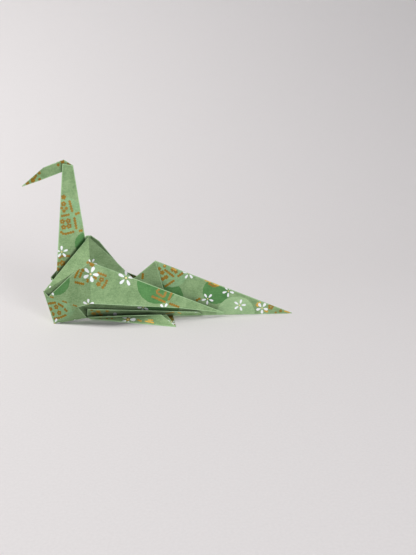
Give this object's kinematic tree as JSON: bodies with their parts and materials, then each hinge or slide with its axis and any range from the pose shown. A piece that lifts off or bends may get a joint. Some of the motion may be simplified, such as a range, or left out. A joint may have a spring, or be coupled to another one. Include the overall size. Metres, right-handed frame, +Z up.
{
  "type": "origami crane",
  "caption": "Folded paper crane with an upright neck, lowered wings and a low tail, open along its back as a slot for a place card.",
  "frame": {"origin": "on the table, under the middle of the folded crane", "axes": "+Z up, -X towards the beak, +X towards the tail tip, -Y towards the near wing with the lower flap"},
  "size_m": [0.0838, 0.0226, 0.0503],
  "materials": {
    "paper": "matte"
  },
  "bodies": {
    "root": {"folded_sheet": "paper"}
  },
  "joints": []
}
